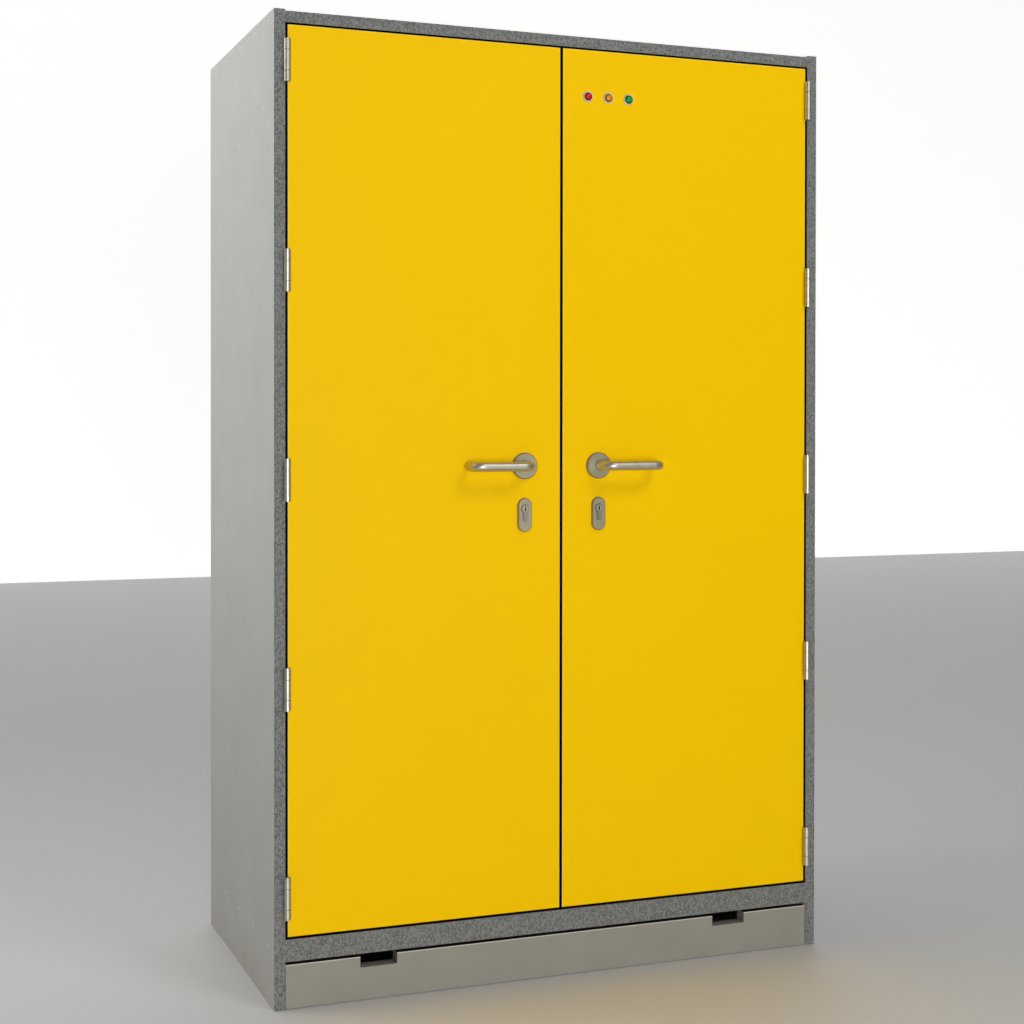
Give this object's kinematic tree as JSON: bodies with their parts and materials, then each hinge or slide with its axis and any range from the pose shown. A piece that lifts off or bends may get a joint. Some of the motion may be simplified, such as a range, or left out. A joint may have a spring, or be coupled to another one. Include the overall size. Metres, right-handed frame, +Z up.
{
  "type": "battery cabinet",
  "caption": "Tall two-door fire-resistant cabinet for storing and charging batteries, with inset hinged doors, lever locks, indicator lamps, shelves and a pull-off plinth.",
  "frame": {"origin": "on the floor, in the middle of the footprint of the carcass with its lever handles", "axes": "+X to the right seen from the front, +Y from the front to the back, +Z up; the doors face -Y"},
  "size_m": [1.2, 0.698, 1.977],
  "materials": {
    "panel": "faced fire board, smooth melamine",
    "lining": "calcium silicate board, matt",
    "door": "faced board, semi-matt yellow",
    "door_core": "fire board core, matt",
    "plinth": "faced board, matt",
    "seal": "intumescent seal, matt",
    "zinc": "zinc plated",
    "stainless": "satin brushed",
    "cylinder": "nickel plated brass, satin",
    "coated_steel": "powder coated",
    "magnet": "matt",
    "socket": "fine textured",
    "rocker": "glossy",
    "white_plastic": "fine textured",
    "duct": "galvanised",
    "bezel": "polished",
    "lens_red": "clear tinted",
    "lens_amber": "clear tinted",
    "lens_green": "clear tinted"
  },
  "bodies": {
    "cabinet": {"back_panel": "panel", "base_runners": "lining", "bottom_panel": "panel", "cable_gland": "white_plastic", "centre_partition": "lining", "compartment_divider": "lining", "control_unit": "white_plastic", "door_seals": "seal", "exhaust_ducts": "duct", "hinge_leaves_frame": "stainless", "hinge_pins": "stainless", "lining_back": "lining", "lining_floor": "lining", "lining_left": "lining", "lining_right": "lining", "lining_top": "lining", "plinth_clips": "magnet", "rod_keeps": "zinc", "service_cover": "lining", "shelf_clips": "coated_steel", "shelf_uprights": "coated_steel", "shelves": "coated_steel", "side_panel_left": "panel", "side_panel_right": "panel", "side_screws": "zinc", "smoke_detectors": "white_plastic", "socket_strips": "socket", "spill_trays": "coated_steel", "top_panel": "panel"},
    "left_door": {"door_skin_left": "door", "door_core_left": "door_core", "lock_case_left": "zinc", "cylinder_left": "cylinder", "rosette_left": "stainless", "escutcheon_left": "stainless", "hinge_leaves_left": "stainless"},
    "left_lever": {"lever_left": "stainless", "lever_gear_left": "zinc"},
    "left_rod_upper": {"rod_upper_left": "zinc"},
    "left_rod_lower": {"rod_lower_left": "zinc"},
    "left_plug": {"cylinder_plug_left": "cylinder"},
    "left_rocker": {"rocker_left": "rocker"},
    "right_door": {"door_skin_right": "door", "door_core_right": "door_core", "lock_case_right": "zinc", "cylinder_right": "cylinder", "rosette_right": "stainless", "escutcheon_right": "stainless", "hinge_leaves_right": "stainless", "lamp_bezels": "bezel", "lamp_lens_red": "lens_red", "lamp_lens_amber": "lens_amber", "lamp_lens_green": "lens_green"},
    "right_lever": {"lever_right": "stainless", "lever_gear_right": "zinc"},
    "right_rod_upper": {"rod_upper_right": "zinc"},
    "right_rod_lower": {"rod_lower_right": "zinc"},
    "right_plug": {"cylinder_plug_right": "cylinder"},
    "right_rocker": {"rocker_right": "rocker"},
    "plinth": {"plinth_panel": "plinth"}
  },
  "joints": [
    {"name": "left_door_hinge", "type": "hinge", "parent": "cabinet", "child": "left_door", "pos_m": [-0.5755, -0.2874, 1.0263], "axis": [0, 0, -1], "range_deg": [0, 115]},
    {"name": "left_lever_turn", "type": "hinge", "parent": "left_door", "child": "left_lever", "pos_m": [-0.082, -0.31, 1.05], "axis": [0, 1, 0], "range_deg": [0, 45]},
    {"name": "left_rod_upper_slide", "type": "slide", "parent": "left_door", "child": "left_rod_upper", "axis": [0, 0, 1], "range_m": [0, 0.01571]},
    {"name": "left_rod_lower_slide", "type": "slide", "parent": "left_door", "child": "left_rod_lower", "axis": [0, 0, -1], "range_m": [0, 0.01571]},
    {"name": "left_plug_turn", "type": "hinge", "parent": "left_door", "child": "left_plug", "pos_m": [-0.082, -0.28, 0.9625], "axis": [0, -1, 0], "range_deg": [0, 360]},
    {"name": "left_rocker_tilt", "type": "hinge", "parent": "cabinet", "child": "left_rocker", "pos_m": [-0.2865, 0.256, 1.357], "axis": [1, 0, 0], "range_deg": [-16, 0]},
    {"name": "right_door_hinge", "type": "hinge", "parent": "cabinet", "child": "right_door", "pos_m": [0.5755, -0.2874, 1.0263], "axis": [0, 0, 1], "range_deg": [0, 115]},
    {"name": "right_lever_turn", "type": "hinge", "parent": "right_door", "child": "right_lever", "pos_m": [0.082, -0.31, 1.05], "axis": [0, -1, 0], "range_deg": [0, 45]},
    {"name": "right_rod_upper_slide", "type": "slide", "parent": "right_door", "child": "right_rod_upper", "axis": [0, 0, 1], "range_m": [0, 0.01571]},
    {"name": "right_rod_lower_slide", "type": "slide", "parent": "right_door", "child": "right_rod_lower", "axis": [0, 0, -1], "range_m": [0, 0.01571]},
    {"name": "right_plug_turn", "type": "hinge", "parent": "right_door", "child": "right_plug", "pos_m": [0.082, -0.28, 0.9625], "axis": [0, -1, 0], "range_deg": [0, 360]},
    {"name": "right_rocker_tilt", "type": "hinge", "parent": "cabinet", "child": "right_rocker", "pos_m": [0.2865, 0.256, 1.357], "axis": [1, 0, 0], "range_deg": [-16, 0]},
    {"name": "plinth_pull", "type": "slide", "parent": "cabinet", "child": "plinth", "axis": [0, -1, 0], "range_m": [0, 0.12]}
  ],
  "couplings": [
    {"joint": "left_rod_upper_slide", "follows": "left_lever_turn", "m_per_rad": 0.02},
    {"joint": "left_rod_lower_slide", "follows": "left_lever_turn", "m_per_rad": 0.02},
    {"joint": "right_rod_upper_slide", "follows": "right_lever_turn", "m_per_rad": 0.02},
    {"joint": "right_rod_lower_slide", "follows": "right_lever_turn", "m_per_rad": 0.02}
  ]
}
